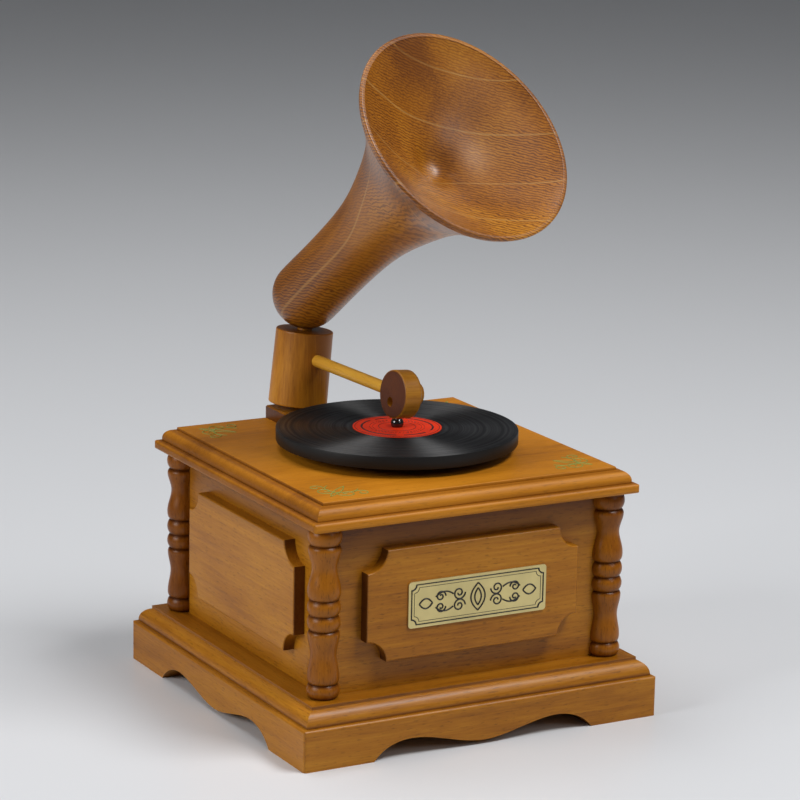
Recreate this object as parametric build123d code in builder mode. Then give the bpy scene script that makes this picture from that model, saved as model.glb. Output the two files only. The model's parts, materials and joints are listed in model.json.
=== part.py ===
from build123d import *
import math
import os

# Hand crank music box shaped like a tabletop gramophone.
# Units are millimetres. The origin is the centre of the base on the table,
# the front looks along -Y, the crank is on the +X side and +Z is up.

# ---------------------------------------------------------------- base
BASE_HALF = 60.0
BASE_HEIGHT = 18.0
RAIL_INNER = 38.0
APRON_TOP = 12.5
OVOLO_FOOT = 58.5
OVOLO_TOP = 55.3
OVOLO_MIDDLE = (57.7, 15.4)
OVOLO_END = 17.0
APRON_ROUND = 0.8
FOOT_END = 37.1
ARCH_LINE = [(33.7, 3.1), (26.5, 5.45), (18.4, 4.85), (10.0, 2.85)]
LOBE_HEIGHT = 1.35
CORNER_ROUND = 1.0
CUT_MARGIN = 1.0

# ---------------------------------------------------------------- case
WALL_OUTER = 48.0
WALL_THICK = 5.0
WALL_INNER = WALL_OUTER - WALL_THICK
CASE_TOP = 69.2
FLOOR_TOP = 22.0
FLOOR_HALF = WALL_INNER - 0.1
BLOCK_SIDE = 6.5

PLAQUE_HALF = 35.75
PLAQUE_THICK = 3.7
PLAQUE_LOW = 27.0
PLAQUE_HIGH = 60.8
PLAQUE_NOTCH = 6.5
PLAQUE_ROUND = 0.5
PLAQUE_FACE = WALL_OUTER + PLAQUE_THICK
PLAQUE_MIDDLE = (PLAQUE_LOW + PLAQUE_HIGH) / 2

NAMEPLATE_WIDTH = 46.7
NAMEPLATE_HEIGHT = 14.1
NAMEPLATE_THICK = 0.5
NAMEPLATE_X = 1.0
NAMEPLATE_Z = 43.25
NAMEPLATE_CORNER = 1.0

COLUMN_GROOVE = 4.1
COLUMN_FOOT = (4.95, 20.1)
COLUMN_GROOVES = [22.3, 38.4, 42.9, 47.6, 63.95]
COLUMN_LOWER_VASE = [(4.72, 24.9), (3.9, 31.4), (4.75, 36.8)]
COLUMN_UPPER_VASE = [(4.95, 50.4), (3.72, 57.4), (4.88, 62.3)]
COLUMN_BEAD = 4.95
COLUMN_CAP = (5.05, 66.2)
COLUMN_NECK = (4.6, 68.3)

# ---------------------------------------------------------------- top board
BOARD_TOP = 76.85
LIP_HALF = 54.93
LIP_TOP = 72.2
LIP_ROUND = 1.1
COVE_HALF = 53.0
COVE_TOP = 75.9
COVE_ROUND = 3.0
FIELD_HALF = 49.5
FIELD_ROUND = 0.25

# ---------------------------------------------------------------- record
RECORD_Y = -2.7
RECORD_RADIUS = 37.0
RECORD_LOW = 79.6
RECORD_TOP = 83.6
RECORD_EDGE = 0.5
LABEL_RADIUS = 13.6
LABEL_THICK = 0.15
CAP_RADIUS = 2.0
SPINDLE_RADIUS = 1.5
RUNNING_GAP = 0.04
TURNING_GAP = 0.06
CLOSE_GAP = 0.02
END_GAP = 0.1

# ---------------------------------------------------------------- movement
CRANK_Z = PLAQUE_MIDDLE
GEAR_MODULE = 0.5
PINION_TEETH = 12
GEAR_TEETH = 30
GEAR_CENTRES = GEAR_MODULE * (PINION_TEETH + GEAR_TEETH) / 2
ARBOR_Y = RECORD_Y
ARBOR_Z = CRANK_Z - math.sqrt(GEAR_CENTRES ** 2 - ARBOR_Y ** 2)
ARBOR_RADIUS = 1.25
BARREL_RADIUS = 6.5
BARREL_LEFT = -33.0
BARREL_LENGTH = 26.0
PIN_TIP = 7.15
PIN_RADIUS = 0.25
PIN_ROOT = 0.3
TRACKS = 18
TRACK_PITCH = 1.4
PIN_COUNT = 54
WHEEL_RADIUS = 7.0
TYRE_RADIUS = 9.0
TYRE_X = 12.0
TYRE_WIDTH = 3.0
DISC_RADIUS = 15.0
DISC_LOW = ARBOR_Z + TYRE_RADIUS + 0.05
BED_LOW = 24.0
BED_TOP = 26.0
BED_LEFT = -42.0
BED_RIGHT = 22.5
BED_FRONT = -15.0
BED_BACK = 30.0
COMB_THICK = 0.8
COMB_TIP = ARBOR_Y + PIN_TIP + 0.1
COMB_BACK = 24.5
COMB_ROOT_SHORT = 9.5
COMB_ROOT_LONG = 16.5
COMB_SLOT = 0.3
COMB_ROOT = 3.0

# ---------------------------------------------------------------- crank
SHAFT_RADIUS = 1.5
BUSH_RADIUS = 3.5
ARM_X = 53.4
ARM_THICK = 2.2
CRANK_THROW = 18.0
KNOB_NEAR = 56.1
KNOB_FAR = 73.5

# ---------------------------------------------------------------- post, tonearm, sound box
FOOT_LEFT = -18.8
FOOT_RIGHT = 0.2
FOOT_FRONT = 36.2
FOOT_BACK = 49.2
FOOT_TOP = 81.0
POST_RADIUS = 9.28
POST_TAPER = 0.68
POST_LENGTH = 23.75
POST_BASE = Vector(-10.49, 43.5, 81.97)
POST_AXIS = Vector(0.0965, 0.0042, 0.9953).normalized()
PIVOT_RADIUS = 1.5
TONEARM_UP = 15.45
TONEARM_RADIUS = 1.9
TONEARM_REACH = 57.6
TONEARM_DROOP = 0.0073
TONEARM_SOCKET = 2.5
SOUND_RADIUS = 7.35
SOUND_FACE = -3.05
SOUND_STEP = 3.1
SOUND_BACK = 6.6
SOUND_BOSS = 3.65
NEEDLE_HOLE_RADIUS = 1.45
NEEDLE_HOLE_DEPTH = 2.6
NEEDLE_HOLE_DOWN = 2.5
NEEDLE_HOLE_BACK = 1.0
SOUND_FACE_ROUND = 0.6
SOUND_RIM_ROUND = 1.1
SOUND_BOSS_ROUND = 1.4

# ---------------------------------------------------------------- horn
HORN_UP = 11.6
HORN_TURN = 12.8
HORN_RISE = 39.8
HORN_TAIL = -11.55
HORN_HEEL = [(7.75, -8.4), (10.95, -0.4)]
HORN_TUBE = [(10.9, 10), (11.0, 24), (12.15, 40), (15.95, 56), (22.2, 72), (30.4, 84)]
HORN_RIM_BACK = (35.3, 90.0)
HORN_LIP = 36.0
HORN_LIP_INNER = 34.4
HORN_MOUTH = 92.2
HORN_BOWL = [(25.0, -6.6), (15.0, -12.6), (8.4, -16.0)]
HORN_CUP = [(6.2, -17.6), (3.6, -19.7), (0, -20.5)]
PEG_RADIUS = 2.35

os.makedirs("parts", exist_ok=True)


def save(builder, name):
    """Label a finished piece and write it to its own file."""
    builder.part.label = name
    export_step(builder.part, f"parts/{name}.step")


def plane_along(origin, direction):
    """A plane whose local Y runs along the given direction, for turned profiles."""
    side = Vector(0, 0, 1) if abs(direction.Z) < 0.9 else Vector(1, 0, 0)
    radial = direction.cross(side).normalized()
    return Plane(origin=origin, x_dir=radial, z_dir=radial.cross(direction))


def side_plane(outward):
    """A vertical plane through the origin whose local X is the outward direction."""
    return Plane(origin=(0, 0, 0), x_dir=outward, z_dir=outward.cross(Vector(0, 0, 1)))


SIDES = {
    "front": Vector(0, -1, 0),
    "back": Vector(0, 1, 0),
    "left": Vector(-1, 0, 0),
    "right": Vector(1, 0, 0),
}


def face_plane(outward, distance):
    """The plane of a case side: local X runs along the side and local Y is up."""
    along = Vector(0, 0, 1).cross(outward)
    return Plane(origin=outward * distance, x_dir=along, z_dir=outward)


# ================================================================ base rails
FLOOR_SCREW_X = 22.0
FLOOR_SCREW_Y = 40.4
SCREW_RADIUS = 1.2
SCREW_PILOT = 1.25
PILOT_DEPTH = 9.0
OTHER_ARCH_LINE = [(-x, z) for x, z in reversed(ARCH_LINE)]


def floor_screw_spots():
    """Where the four screws pass through the floor into the front and back rails."""
    return GridLocations(2 * FLOOR_SCREW_X, 2 * FLOOR_SCREW_Y, 2, 2)


def base_rail(outward):
    """One mitred, moulded rail of the base with its scalloped lower edge."""
    along = Vector(0, 0, 1).cross(outward)
    with BuildPart() as rail:
        with BuildSketch(side_plane(outward)):
            with BuildLine():
                Polyline((OVOLO_TOP, BASE_HEIGHT), (RAIL_INNER, BASE_HEIGHT), (RAIL_INNER, 0),
                         (BASE_HALF, 0), (BASE_HALF, APRON_TOP), (OVOLO_FOOT, APRON_TOP))
                ThreePointArc((OVOLO_FOOT, APRON_TOP), OVOLO_MIDDLE, (OVOLO_TOP, OVOLO_END))
                Line((OVOLO_TOP, OVOLO_END), (OVOLO_TOP, BASE_HEIGHT))
            make_face()
        extrude(amount=BASE_HALF, both=True)
        outer_edges = rail.edges().filter_by(Axis(origin=(0, 0, 0), direction=along))
        shoulder = outer_edges.filter_by_position(Axis.Z, APRON_TOP - 0.1, APRON_TOP + 0.1)
        fillet(shoulder.sort_by(Axis(origin=(0, 0, 0), direction=outward))[-1], radius=APRON_ROUND)
        with BuildSketch(Plane(origin=(0, 0, 0), x_dir=along, z_dir=(0, 0, 1))):
            with BuildLine():
                Polyline((-BASE_HALF, -BASE_HALF), (BASE_HALF, -BASE_HALF), (RAIL_INNER, -RAIL_INNER),
                         (-RAIL_INNER, -RAIL_INNER), (-BASE_HALF, -BASE_HALF))
            make_face()
        extrude(amount=BASE_HEIGHT, mode=Mode.INTERSECT)
        with BuildSketch(Plane.XY):
            RectangleRounded(2 * BASE_HALF, 2 * BASE_HALF, CORNER_ROUND)
        extrude(amount=BASE_HEIGHT, mode=Mode.INTERSECT)
        with BuildSketch(face_plane(outward, RAIL_INNER - CUT_MARGIN)):
            with BuildLine():
                Spline((FOOT_END, 0), *ARCH_LINE, (0, LOBE_HEIGHT), *OTHER_ARCH_LINE, (-FOOT_END, 0))
                Line((-FOOT_END, 0), (FOOT_END, 0))
            make_face()
        extrude(amount=BASE_HALF - RAIL_INNER + 2 * CUT_MARGIN, mode=Mode.SUBTRACT)
        with BuildSketch(Plane.XY.offset(BASE_HEIGHT)):
            with floor_screw_spots():
                Circle(SCREW_PILOT)
        extrude(amount=-PILOT_DEPTH, mode=Mode.SUBTRACT)
    return rail


for side, outward in SIDES.items():
    save(base_rail(outward), f"base_rail_{side}")

# ================================================================ floor of the case
BED_SCREW_SPOTS = [
    (BED_LEFT + 5.5, BED_FRONT + 3.5),
    (BED_RIGHT - 4.0, BED_FRONT + 3.5),
    (BED_LEFT + 5.5, BED_BACK - 3.5),
    (BED_RIGHT - 4.0, BED_BACK - 3.5),
]
BED_SCREW_RADIUS = 1.1
BED_SCREW_DEPTH = 3.6
SCREW_LENGTH = 12.0
SINK_RADIUS = 2.4
LOW = (Align.CENTER, Align.CENTER, Align.MIN)
HIGH = (Align.CENTER, Align.CENTER, Align.MAX)

with BuildPart() as base_panel:
    with BuildSketch(Plane.XY.offset(BASE_HEIGHT)):
        Rectangle(2 * FLOOR_HALF, 2 * FLOOR_HALF)
    extrude(amount=FLOOR_TOP - BASE_HEIGHT)
    with BuildSketch(Plane.XY.offset(FLOOR_TOP)):
        with Locations(*BED_SCREW_SPOTS):
            Circle(BED_SCREW_RADIUS + CLOSE_GAP)
    extrude(amount=-BED_SCREW_DEPTH, mode=Mode.SUBTRACT)
    with Locations(Plane.XY.offset(FLOOR_TOP)):
        with floor_screw_spots():
            CounterSinkHole(radius=SCREW_PILOT, counter_sink_radius=SINK_RADIUS + CLOSE_GAP,
                            depth=FLOOR_TOP - BASE_HEIGHT)
save(base_panel, "base_panel")

with BuildPart() as base_panel_screws:
    with Locations(Plane.XY.offset(FLOOR_TOP)):
        with floor_screw_spots():
            Cylinder(SCREW_RADIUS, SCREW_LENGTH, align=HIGH)
            Cone(SCREW_RADIUS, SINK_RADIUS, SINK_RADIUS - SCREW_RADIUS, align=HIGH)
save(base_panel_screws, "base_panel_screws")

# ================================================================ walls, glue blocks and columns
CRANK_SHAFT_SPOT = (0.0, CRANK_Z)


def wall(outward, half_length, bored):
    """A flat board of the case, bored for the crank bush on the crank side."""
    with BuildPart() as board:
        with BuildSketch(face_plane(outward, WALL_INNER)):
            with Locations((0, (BASE_HEIGHT + CASE_TOP) / 2)):
                Rectangle(2 * half_length, CASE_TOP - BASE_HEIGHT)
            if bored:
                with Locations(CRANK_SHAFT_SPOT):
                    Circle(BUSH_RADIUS + CLOSE_GAP, mode=Mode.SUBTRACT)
        extrude(amount=WALL_THICK)
    return board


def plaque(outward, bored):
    """A raised plaque with hollowed corners, bored for the crank bush on the crank side."""
    with BuildPart() as panel:
        with BuildSketch(face_plane(outward, WALL_OUTER)):
            with Locations((0, PLAQUE_MIDDLE)):
                Rectangle(2 * PLAQUE_HALF, PLAQUE_HIGH - PLAQUE_LOW)
                with GridLocations(2 * PLAQUE_HALF, PLAQUE_HIGH - PLAQUE_LOW, 2, 2):
                    Circle(PLAQUE_NOTCH, mode=Mode.SUBTRACT)
        extrude(amount=PLAQUE_THICK)
        front_face = panel.faces().sort_by(Axis(origin=(0, 0, 0), direction=outward))[-1]
        fillet(front_face.edges(), radius=PLAQUE_ROUND)
        if bored:
            with BuildSketch(face_plane(outward, WALL_OUTER)):
                with Locations(CRANK_SHAFT_SPOT):
                    Circle(BUSH_RADIUS + CLOSE_GAP)
            extrude(amount=PLAQUE_THICK, mode=Mode.SUBTRACT)
    return panel


for side, outward in SIDES.items():
    on_crank_side = side == "right"
    half_length = WALL_OUTER if side in ("front", "back") else WALL_INNER
    save(wall(outward, half_length, on_crank_side), f"wall_{side}")
    save(plaque(outward, on_crank_side), f"plaque_{side}")


def glue_block(x_side, y_side):
    """A square stick in an inner corner that ties two walls, the floor and the top board."""
    middle = FLOOR_HALF - BLOCK_SIDE / 2
    with BuildPart() as block:
        with BuildSketch(Plane.XY.offset(FLOOR_TOP)):
            with Locations((x_side * middle, y_side * middle)):
                Rectangle(BLOCK_SIDE, BLOCK_SIDE)
        extrude(amount=CASE_TOP - FLOOR_TOP)
    return block


def column(x_side, y_side):
    """A turned column over a corner of the case: three quarters of it stands outside."""
    corner = (x_side * WALL_OUTER, y_side * WALL_OUTER, 0)
    first, second, third, fourth, fifth = COLUMN_GROOVES
    with BuildPart() as post:
        with BuildSketch(Plane(origin=corner, x_dir=(1, 0, 0), z_dir=(0, -1, 0))):
            with BuildLine():
                Line((0, BASE_HEIGHT), (COLUMN_GROOVE, BASE_HEIGHT))
                ThreePointArc((COLUMN_GROOVE, BASE_HEIGHT), COLUMN_FOOT, (COLUMN_GROOVE, first))
                Spline((COLUMN_GROOVE, first), *COLUMN_LOWER_VASE, (COLUMN_GROOVE, second),
                       tangents=((1, 0.8), (-1, 0.8)))
                for low, high in ((second, third), (third, fourth)):
                    ThreePointArc((COLUMN_GROOVE, low), (COLUMN_BEAD, (low + high) / 2), (COLUMN_GROOVE, high))
                Spline((COLUMN_GROOVE, fourth), *COLUMN_UPPER_VASE, (COLUMN_GROOVE, fifth),
                       tangents=((1, 0.8), (-1, 0.8)))
                ThreePointArc((COLUMN_GROOVE, fifth), COLUMN_CAP, COLUMN_NECK)
                Polyline(COLUMN_NECK, (COLUMN_NECK[0], CASE_TOP), (0, CASE_TOP), (0, BASE_HEIGHT))
            make_face()
        revolve(axis=Axis(origin=corner, direction=(0, 0, 1)))
        with BuildSketch(Plane.XY.offset(BASE_HEIGHT)):
            Rectangle(2 * WALL_OUTER, 2 * WALL_OUTER)
        extrude(amount=CASE_TOP - BASE_HEIGHT, mode=Mode.SUBTRACT)
    return post


for depth, y_side in (("front", -1), ("back", 1)):
    for hand, x_side in (("left", -1), ("right", 1)):
        save(glue_block(x_side, y_side), f"glue_block_{depth}_{hand}")
        save(column(x_side, y_side), f"column_{depth}_{hand}")

with BuildPart() as nameplate:
    with BuildSketch(Plane.XZ.offset(PLAQUE_FACE)):
        with Locations((NAMEPLATE_X, NAMEPLATE_Z)):
            RectangleRounded(NAMEPLATE_WIDTH, NAMEPLATE_HEIGHT, NAMEPLATE_CORNER)
    extrude(amount=NAMEPLATE_THICK)
save(nameplate, "nameplate")

# ================================================================ top board
SLEEVE_RADIUS = 3.0

with BuildPart() as top_board:
    with BuildSketch(Plane.XY.offset(CASE_TOP)):
        Rectangle(2 * LIP_HALF, 2 * LIP_HALF)
    extrude(amount=LIP_TOP - CASE_TOP)
    fillet(top_board.edges().filter_by(Axis.Z, reverse=True), radius=LIP_ROUND)
    with BuildSketch(Plane.XY.offset(LIP_TOP)):
        Rectangle(2 * COVE_HALF, 2 * COVE_HALF)
    extrude(amount=COVE_TOP - LIP_TOP)
    fillet(top_board.edges().filter_by(Axis.Z, reverse=True).group_by(Axis.Z)[-1], radius=COVE_ROUND)
    with BuildSketch(Plane.XY.offset(COVE_TOP)):
        Rectangle(2 * FIELD_HALF, 2 * FIELD_HALF)
    extrude(amount=BOARD_TOP - COVE_TOP)
    fillet(top_board.edges().group_by(Axis.Z)[-1], radius=FIELD_ROUND)
    with BuildSketch(Plane.XY.offset(CASE_TOP)):
        RectangleRounded(2 * LIP_HALF, 2 * LIP_HALF, CORNER_ROUND)
    extrude(amount=BOARD_TOP - CASE_TOP, mode=Mode.INTERSECT)
    with BuildSketch(Plane.XY.offset(CASE_TOP)):
        with Locations((0, RECORD_Y)):
            Circle(SLEEVE_RADIUS + CLOSE_GAP)
    extrude(amount=BOARD_TOP - CASE_TOP, mode=Mode.SUBTRACT)
save(top_board, "top_board")

# ================================================================ record and its spindle
SLEEVE_LOW = 60.0
FLANGE_TOP = BOARD_TOP + 0.55
FLANGE_RADIUS = 4.5
HUB_RADIUS = 10.0
HUB_THICK = 1.5
HUB_NECK_RADIUS = 3.5
COLLAR_RADIUS = 3.4
COLLAR_LENGTH = 3.0
DISC_THICK = 2.0
DISC_BOSS_RADIUS = 4.0
DISC_BOSS_LENGTH = 4.0


def record_plane(height):
    """A level plane centred on the record's axis."""
    return Plane(origin=(0, RECORD_Y, height))


with BuildPart() as record_disc:
    with BuildSketch(record_plane(RECORD_LOW)):
        Circle(RECORD_RADIUS)
        Circle(SPINDLE_RADIUS + CLOSE_GAP, mode=Mode.SUBTRACT)
    extrude(amount=RECORD_TOP - RECORD_LOW)
    chamfer(record_disc.edges().filter_by(GeomType.CIRCLE).group_by(SortBy.RADIUS)[-1], length=RECORD_EDGE)
save(record_disc, "record_disc")

with BuildPart() as record_label:
    with BuildSketch(record_plane(RECORD_TOP)):
        Circle(LABEL_RADIUS)
        Circle(SPINDLE_RADIUS + CLOSE_GAP, mode=Mode.SUBTRACT)
    extrude(amount=LABEL_THICK)
save(record_label, "record_label")

CAP_LOW = RECORD_TOP + LABEL_THICK
CAP_CENTRE = CAP_LOW + 1.1
TENON_RADIUS = 0.9
TENON_TOP = CAP_CENTRE + 0.3

with BuildPart() as spindle_cap:
    with Locations(record_plane(CAP_CENTRE)):
        Sphere(CAP_RADIUS)
    split(bisect_by=record_plane(CAP_LOW), keep=Keep.TOP)
    with BuildSketch(record_plane(CAP_LOW)):
        Circle(TENON_RADIUS + CLOSE_GAP)
    extrude(amount=TENON_TOP - CAP_LOW, mode=Mode.SUBTRACT)
save(spindle_cap, "spindle_cap")

with BuildPart() as turntable_hub:
    with BuildSketch(record_plane(FLANGE_TOP + END_GAP)):
        Circle(HUB_NECK_RADIUS)
    extrude(amount=RECORD_LOW - FLANGE_TOP - END_GAP)
    with BuildSketch(record_plane(RECORD_LOW - HUB_THICK)):
        Circle(HUB_RADIUS)
    extrude(amount=HUB_THICK)
    with BuildSketch(record_plane(BOARD_TOP)):
        Circle(SPINDLE_RADIUS + CLOSE_GAP)
    extrude(amount=RECORD_LOW - BOARD_TOP, mode=Mode.SUBTRACT)
save(turntable_hub, "turntable_hub")

with BuildPart() as spindle:
    with BuildSketch(record_plane(DISC_LOW)):
        Circle(SPINDLE_RADIUS)
    extrude(amount=CAP_LOW - DISC_LOW)
    with BuildSketch(record_plane(CAP_LOW)):
        Circle(TENON_RADIUS)
    extrude(amount=TENON_TOP - CAP_LOW)
save(spindle, "spindle")

with BuildPart() as spindle_bush:
    with BuildSketch(record_plane(SLEEVE_LOW)):
        Circle(SLEEVE_RADIUS)
    extrude(amount=BOARD_TOP - SLEEVE_LOW)
    with BuildSketch(record_plane(BOARD_TOP)):
        Circle(FLANGE_RADIUS)
    extrude(amount=FLANGE_TOP - BOARD_TOP)
    with BuildSketch(record_plane(SLEEVE_LOW)):
        Circle(SPINDLE_RADIUS + RUNNING_GAP)
    extrude(amount=FLANGE_TOP - SLEEVE_LOW, mode=Mode.SUBTRACT)
save(spindle_bush, "spindle_bush")

with BuildPart() as spindle_collar:
    with BuildSketch(record_plane(SLEEVE_LOW - END_GAP)):
        Circle(COLLAR_RADIUS)
        Circle(SPINDLE_RADIUS + CLOSE_GAP, mode=Mode.SUBTRACT)
    extrude(amount=-COLLAR_LENGTH)
save(spindle_collar, "spindle_collar")

with BuildPart() as friction_disc:
    with BuildSketch(record_plane(DISC_LOW)):
        Circle(DISC_RADIUS)
    extrude(amount=DISC_THICK)
    with BuildSketch(record_plane(DISC_LOW + DISC_THICK)):
        Circle(DISC_BOSS_RADIUS)
    extrude(amount=DISC_BOSS_LENGTH)
    with BuildSketch(record_plane(DISC_LOW)):
        Circle(SPINDLE_RADIUS + CLOSE_GAP)
    extrude(amount=DISC_THICK + DISC_BOSS_LENGTH, mode=Mode.SUBTRACT)
save(friction_disc, "friction_disc")

# ================================================================ bedplate and its fasteners
SLOT_HALF_X = 2.5
SLOT_HALF_Y = 6.5
BRACKET_THICK = 2.0
BRACKET_FRONT = -8.7
LEFT_BRACKET_X = -36.5
RIGHT_BRACKET_X = 19.0
BRACKET_FOOT_THICK = 1.5
LEFT_FOOT_LENGTH = 5.0
RIGHT_FOOT_LENGTH = 4.2
BRACKET_SCREW_SPOTS = [
    (LEFT_BRACKET_X - 2.5, -6.2),
    (LEFT_BRACKET_X - 2.5, 0.8),
    (RIGHT_BRACKET_X - 2.1, -6.4),
    (RIGHT_BRACKET_X - 2.1, 2.6),
]
BRACKET_SCREW_RADIUS = 0.8
COMB_BASE_TOP = ARBOR_Z - COMB_THICK / 2
COMB_BASE_FRONT = COMB_TIP + COMB_ROOT_LONG - COMB_ROOT
BARREL_MIDDLE = BARREL_LEFT + BARREL_LENGTH / 2
COMB_SCREW_SPOTS = [(BARREL_MIDDLE + dx, COMB_BACK - 2.8) for dx in (-9.0, 0.0, 9.0)]
COMB_SCREW_RADIUS = 0.9
BED_CORNER = 2.0
SPACER_RADIUS = 3.0
SLOT_WIDTH = 0.4
BRACKET_CORNER = 1.5

with BuildPart() as bedplate:
    with BuildSketch(Plane.XY.offset(BED_LOW)):
        with Locations(((BED_LEFT + BED_RIGHT) / 2, (BED_FRONT + BED_BACK) / 2)):
            RectangleRounded(BED_RIGHT - BED_LEFT, BED_BACK - BED_FRONT, BED_CORNER)
        with Locations(*BED_SCREW_SPOTS):
            Circle(BED_SCREW_RADIUS + CLOSE_GAP, mode=Mode.SUBTRACT)
        with Locations(*BRACKET_SCREW_SPOTS):
            Circle(BRACKET_SCREW_RADIUS + CLOSE_GAP, mode=Mode.SUBTRACT)
        with Locations(*COMB_SCREW_SPOTS):
            Circle(COMB_SCREW_RADIUS + CLOSE_GAP, mode=Mode.SUBTRACT)
        with Locations((TYRE_X, ARBOR_Y)):
            Rectangle(2 * SLOT_HALF_X, 2 * SLOT_HALF_Y, mode=Mode.SUBTRACT)
    extrude(amount=BED_TOP - BED_LOW)
save(bedplate, "bedplate")

with BuildPart() as bedplate_spacers:
    with BuildSketch(Plane.XY.offset(FLOOR_TOP)):
        with Locations(*BED_SCREW_SPOTS):
            Circle(SPACER_RADIUS)
            Circle(BED_SCREW_RADIUS + CLOSE_GAP, mode=Mode.SUBTRACT)
    extrude(amount=BED_LOW - FLOOR_TOP)
save(bedplate_spacers, "bedplate_spacers")


def pan_screws(spots, seat, shank_radius, length, head_radius, head_height):
    """A group of slotted pan-head screws seated at one height."""
    with BuildPart() as screws:
        with Locations(*[(x, y, seat) for x, y in spots]):
            Cylinder(shank_radius, length, align=HIGH)
            Cylinder(head_radius, head_height, align=LOW)
        with Locations(*[(x, y, seat + head_height) for x, y in spots]):
            Box(3 * head_radius, SLOT_WIDTH, head_height, align=(Align.CENTER,) * 3, mode=Mode.SUBTRACT)
    return screws


save(pan_screws(BED_SCREW_SPOTS, BED_TOP, BED_SCREW_RADIUS, length=7.5, head_radius=2.2, head_height=1.4),
     "bedplate_screws")
save(pan_screws(BRACKET_SCREW_SPOTS, BED_TOP + BRACKET_FOOT_THICK, BRACKET_SCREW_RADIUS,
                length=3.2, head_radius=1.5, head_height=1.0), "bracket_screws")
save(pan_screws(COMB_SCREW_SPOTS, ARBOR_Z + COMB_THICK / 2, COMB_SCREW_RADIUS,
                length=9.0, head_radius=1.9, head_height=1.3), "comb_screws")


def bearing_bracket(near_x, foot_length, back, height, bores, screw_spots):
    """An upright plate with a foot towards -X and round bores along X."""
    width = back - BRACKET_FRONT
    middle = (back + BRACKET_FRONT) / 2
    with BuildPart() as bracket:
        with BuildSketch(Plane.YZ.offset(near_x)):
            with Locations((middle, BED_TOP + height / 2)):
                RectangleRounded(width, height, BRACKET_CORNER)
            with Locations((middle, BED_TOP + height / 4)):
                Rectangle(width, height / 2)
            for y, z, radius in bores:
                with Locations((y, z)):
                    Circle(radius, mode=Mode.SUBTRACT)
        extrude(amount=BRACKET_THICK)
        with BuildSketch(Plane.XY.offset(BED_TOP)):
            with Locations((near_x - foot_length / 2, middle)):
                Rectangle(foot_length, width)
        extrude(amount=BRACKET_FOOT_THICK)
        with BuildSketch(Plane.XY.offset(BED_TOP)):
            with Locations(*screw_spots):
                Circle(BRACKET_SCREW_RADIUS + CLOSE_GAP)
        extrude(amount=BRACKET_FOOT_THICK, mode=Mode.SUBTRACT)
    return bracket


ARBOR_BORE = (ARBOR_Y, ARBOR_Z, ARBOR_RADIUS + RUNNING_GAP)
SHAFT_BORE = (0.0, CRANK_Z, SHAFT_RADIUS + RUNNING_GAP)
save(bearing_bracket(LEFT_BRACKET_X, LEFT_FOOT_LENGTH, back=3.3, height=13.0, bores=[ARBOR_BORE],
                     screw_spots=BRACKET_SCREW_SPOTS[:2]), "bearing_left")
save(bearing_bracket(RIGHT_BRACKET_X, RIGHT_FOOT_LENGTH, back=5.3, height=21.9, bores=[ARBOR_BORE, SHAFT_BORE],
                     screw_spots=BRACKET_SCREW_SPOTS[2:]), "bearing_right")

# ================================================================ pinned barrel on its arbor
FIRST_TRACK = BARREL_MIDDLE - TRACK_PITCH * (TRACKS - 1) / 2


def arbor_plane(x):
    """A plane square to the barrel's arbor at the given X."""
    return Plane(origin=(x, ARBOR_Y, ARBOR_Z), x_dir=(0, 1, 0), z_dir=(1, 0, 0))


def tune_pin(index):
    """Where one pin stands on the barrel: a rising and falling pattern of tracks."""
    track = (5 * index + index // 7) % TRACKS
    angle = math.radians(360 * index / PIN_COUNT)
    outward = Vector(0, math.cos(angle), math.sin(angle))
    root = Vector(FIRST_TRACK + TRACK_PITCH * track, ARBOR_Y, ARBOR_Z) + outward * (BARREL_RADIUS - PIN_ROOT)
    return Plane(origin=root, z_dir=outward)


with BuildPart() as cylinder:
    with BuildSketch(arbor_plane(BARREL_LEFT)):
        Circle(BARREL_RADIUS)
    extrude(amount=BARREL_LENGTH)
    with Locations(*[tune_pin(index) for index in range(PIN_COUNT)]):
        Cylinder(PIN_RADIUS, PIN_TIP - BARREL_RADIUS + PIN_ROOT, align=LOW)
    with BuildSketch(arbor_plane(BARREL_LEFT)):
        Circle(ARBOR_RADIUS + CLOSE_GAP)
    extrude(amount=BARREL_LENGTH, mode=Mode.SUBTRACT)
save(cylinder, "cylinder")

ARBOR_OVERHANG = 0.8
ARBOR_CHAMFER = 0.2
ARBOR_LEFT = LEFT_BRACKET_X - ARBOR_OVERHANG
GEAR_X = 24.5
GEAR_WIDTH = 3.0
GEAR_HUB_RADIUS = 2.4
ARBOR_RIGHT = GEAR_X + GEAR_WIDTH + ARBOR_OVERHANG
WHEEL_HUB_RADIUS = 2.6
TYRE_ROUND = 0.5

with BuildPart() as cylinder_arbor:
    with BuildSketch(arbor_plane(ARBOR_LEFT)):
        Circle(ARBOR_RADIUS)
    extrude(amount=ARBOR_RIGHT - ARBOR_LEFT)
    chamfer(cylinder_arbor.edges().filter_by(GeomType.CIRCLE), length=ARBOR_CHAMFER)
save(cylinder_arbor, "cylinder_arbor")

with BuildPart() as drive_wheel:
    with BuildSketch(arbor_plane(TYRE_X - TYRE_WIDTH / 2)):
        Circle(WHEEL_RADIUS)
    extrude(amount=TYRE_WIDTH)
    with BuildSketch(arbor_plane(BARREL_LEFT + BARREL_LENGTH)):
        Circle(WHEEL_HUB_RADIUS)
    extrude(amount=TYRE_X - BARREL_LEFT - BARREL_LENGTH)
    with BuildSketch(arbor_plane(BARREL_LEFT + BARREL_LENGTH)):
        Circle(ARBOR_RADIUS + CLOSE_GAP)
    extrude(amount=TYRE_X + TYRE_WIDTH - BARREL_LEFT - BARREL_LENGTH, mode=Mode.SUBTRACT)
save(drive_wheel, "drive_wheel")

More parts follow.
